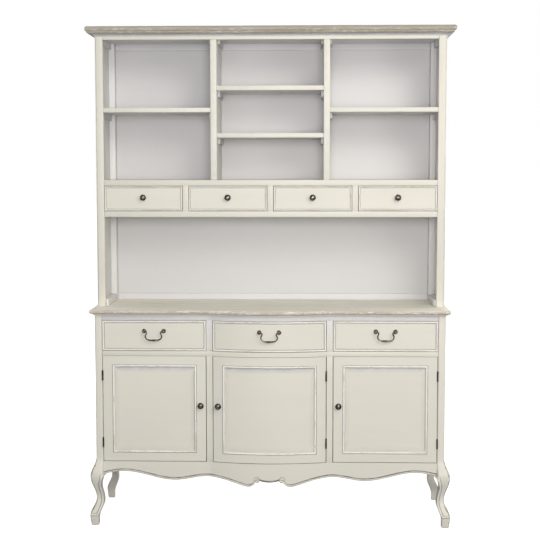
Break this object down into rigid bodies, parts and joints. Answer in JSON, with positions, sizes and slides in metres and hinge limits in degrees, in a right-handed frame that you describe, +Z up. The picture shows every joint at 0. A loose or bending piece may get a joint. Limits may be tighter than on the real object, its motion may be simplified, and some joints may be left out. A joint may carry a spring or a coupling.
{
  "type": "dresser with hutch",
  "caption": "Painted bow-fronted dresser on cabriole legs, with drawers over doors under a limed counter, and an open shelved hutch with small drawers and a limed cornice.",
  "frame": {"origin": "middle of the overall box, on the floor", "axes": "+X to the right, front faces -Y, +Z up"},
  "size_m": [1.4786, 0.469, 2],
  "materials": {
    "cream_paint": "cream paint, satin, rubbed at the edges",
    "back_paint": "pale grey paint, satin",
    "limed_wood": "limed open-grained wood, matt",
    "plain_wood": "plain sealed wood",
    "pewter": "dark antiqued metal, rubbed bright on the high spots",
    "hinge_metal": "dark antiqued metal",
    "zinc_steel": "zinc plated"
  },
  "bodies": {
    "carcass": {"front_left_leg": "cream_paint", "front_right_leg": "cream_paint", "back_legs": "cream_paint", "base_left_side": "cream_paint", "base_right_side": "cream_paint", "base_back_panel": "plain_wood", "face_frame": "cream_paint", "front_apron": "cream_paint", "cupboard_carcass": "plain_wood", "cupboard_shelves": "plain_wood", "drawer_runners": "plain_wood", "counter_top": "limed_wood", "door_hinge_leaves": "hinge_metal", "door_catches": "zinc_steel", "hutch_left_side": "cream_paint", "hutch_right_side": "cream_paint", "hutch_back": "back_paint", "cornice_top": "limed_wood", "cornice_moulding": "cream_paint", "hutch_dividers": "cream_paint", "hutch_shelves": "cream_paint", "hutch_drawer_case": "cream_paint", "shelf_cleats": "cream_paint", "hutch_fixing_plates": "zinc_steel"},
    "left_drawer": {"left_drawer_front": "cream_paint", "left_drawer_box": "plain_wood", "left_handle_posts": "pewter"},
    "left_drawer_bail": {"left_bail": "pewter"},
    "left_door": {"left_door_frame": "cream_paint", "left_door_panel": "cream_paint", "left_door_knob": "pewter", "left_door_fittings": "hinge_metal"},
    "centre_drawer": {"centre_drawer_front": "cream_paint", "centre_drawer_box": "plain_wood", "centre_handle_posts": "pewter"},
    "centre_drawer_bail": {"centre_bail": "pewter"},
    "centre_door": {"centre_door_frame": "cream_paint", "centre_door_panel": "cream_paint", "centre_door_knob": "pewter", "centre_door_fittings": "hinge_metal"},
    "right_drawer": {"right_drawer_front": "cream_paint", "right_drawer_box": "plain_wood", "right_handle_posts": "pewter"},
    "right_drawer_bail": {"right_bail": "pewter"},
    "right_door": {"right_door_frame": "cream_paint", "right_door_panel": "cream_paint", "right_door_knob": "pewter", "right_door_fittings": "hinge_metal"},
    "hutch_drawer_1": {"hutch_drawer_1_front": "cream_paint", "hutch_drawer_1_box": "plain_wood", "hutch_drawer_1_knob": "pewter"},
    "hutch_drawer_2": {"hutch_drawer_2_front": "cream_paint", "hutch_drawer_2_box": "plain_wood", "hutch_drawer_2_knob": "pewter"},
    "hutch_drawer_3": {"hutch_drawer_3_front": "cream_paint", "hutch_drawer_3_box": "plain_wood", "hutch_drawer_3_knob": "pewter"},
    "hutch_drawer_4": {"hutch_drawer_4_front": "cream_paint", "hutch_drawer_4_box": "plain_wood", "hutch_drawer_4_knob": "pewter"}
  },
  "joints": [
    {"name": "left_drawer_slide", "type": "slide", "parent": "carcass", "child": "left_drawer", "axis": [0, -1, 0], "range_m": [0, 0.27]},
    {"name": "left_bail_swing", "type": "hinge", "parent": "left_drawer", "child": "left_drawer_bail", "pos_m": [-0.46137, -0.1875, 0.7885], "axis": [-1, 0, 0], "range_deg": [-15, 95]},
    {"name": "left_door_hinge", "type": "hinge", "parent": "carcass", "child": "left_door", "pos_m": [-0.669, -0.174, 0.47337], "axis": [0, 0, -1], "range_deg": [0, 110]},
    {"name": "centre_drawer_slide", "type": "slide", "parent": "carcass", "child": "centre_drawer", "axis": [0, -1, 0], "range_m": [0, 0.27]},
    {"name": "centre_bail_swing", "type": "hinge", "parent": "centre_drawer", "child": "centre_drawer_bail", "pos_m": [0, -0.22295, 0.7885], "axis": [-1, 0, 0], "range_deg": [-15, 95]},
    {"name": "centre_door_hinge", "type": "hinge", "parent": "carcass", "child": "centre_door", "pos_m": [0.22625, -0.179, 0.47337], "axis": [0, 0, 1], "range_deg": [0, 95]},
    {"name": "right_drawer_slide", "type": "slide", "parent": "carcass", "child": "right_drawer", "axis": [0, -1, 0], "range_m": [0, 0.27]},
    {"name": "right_bail_swing", "type": "hinge", "parent": "right_drawer", "child": "right_drawer_bail", "pos_m": [0.46137, -0.1875, 0.7885], "axis": [-1, 0, 0], "range_deg": [-15, 95]},
    {"name": "right_door_hinge", "type": "hinge", "parent": "carcass", "child": "right_door", "pos_m": [0.669, -0.174, 0.47337], "axis": [0, 0, 1], "range_deg": [0, 110]},
    {"name": "hutch_drawer_1_slide", "type": "slide", "parent": "carcass", "child": "hutch_drawer_1", "axis": [0, -1, 0], "range_m": [0, 0.18]},
    {"name": "hutch_drawer_2_slide", "type": "slide", "parent": "carcass", "child": "hutch_drawer_2", "axis": [0, -1, 0], "range_m": [0, 0.18]},
    {"name": "hutch_drawer_3_slide", "type": "slide", "parent": "carcass", "child": "hutch_drawer_3", "axis": [0, -1, 0], "range_m": [0, 0.18]},
    {"name": "hutch_drawer_4_slide", "type": "slide", "parent": "carcass", "child": "hutch_drawer_4", "axis": [0, -1, 0], "range_m": [0, 0.18]}
  ]
}
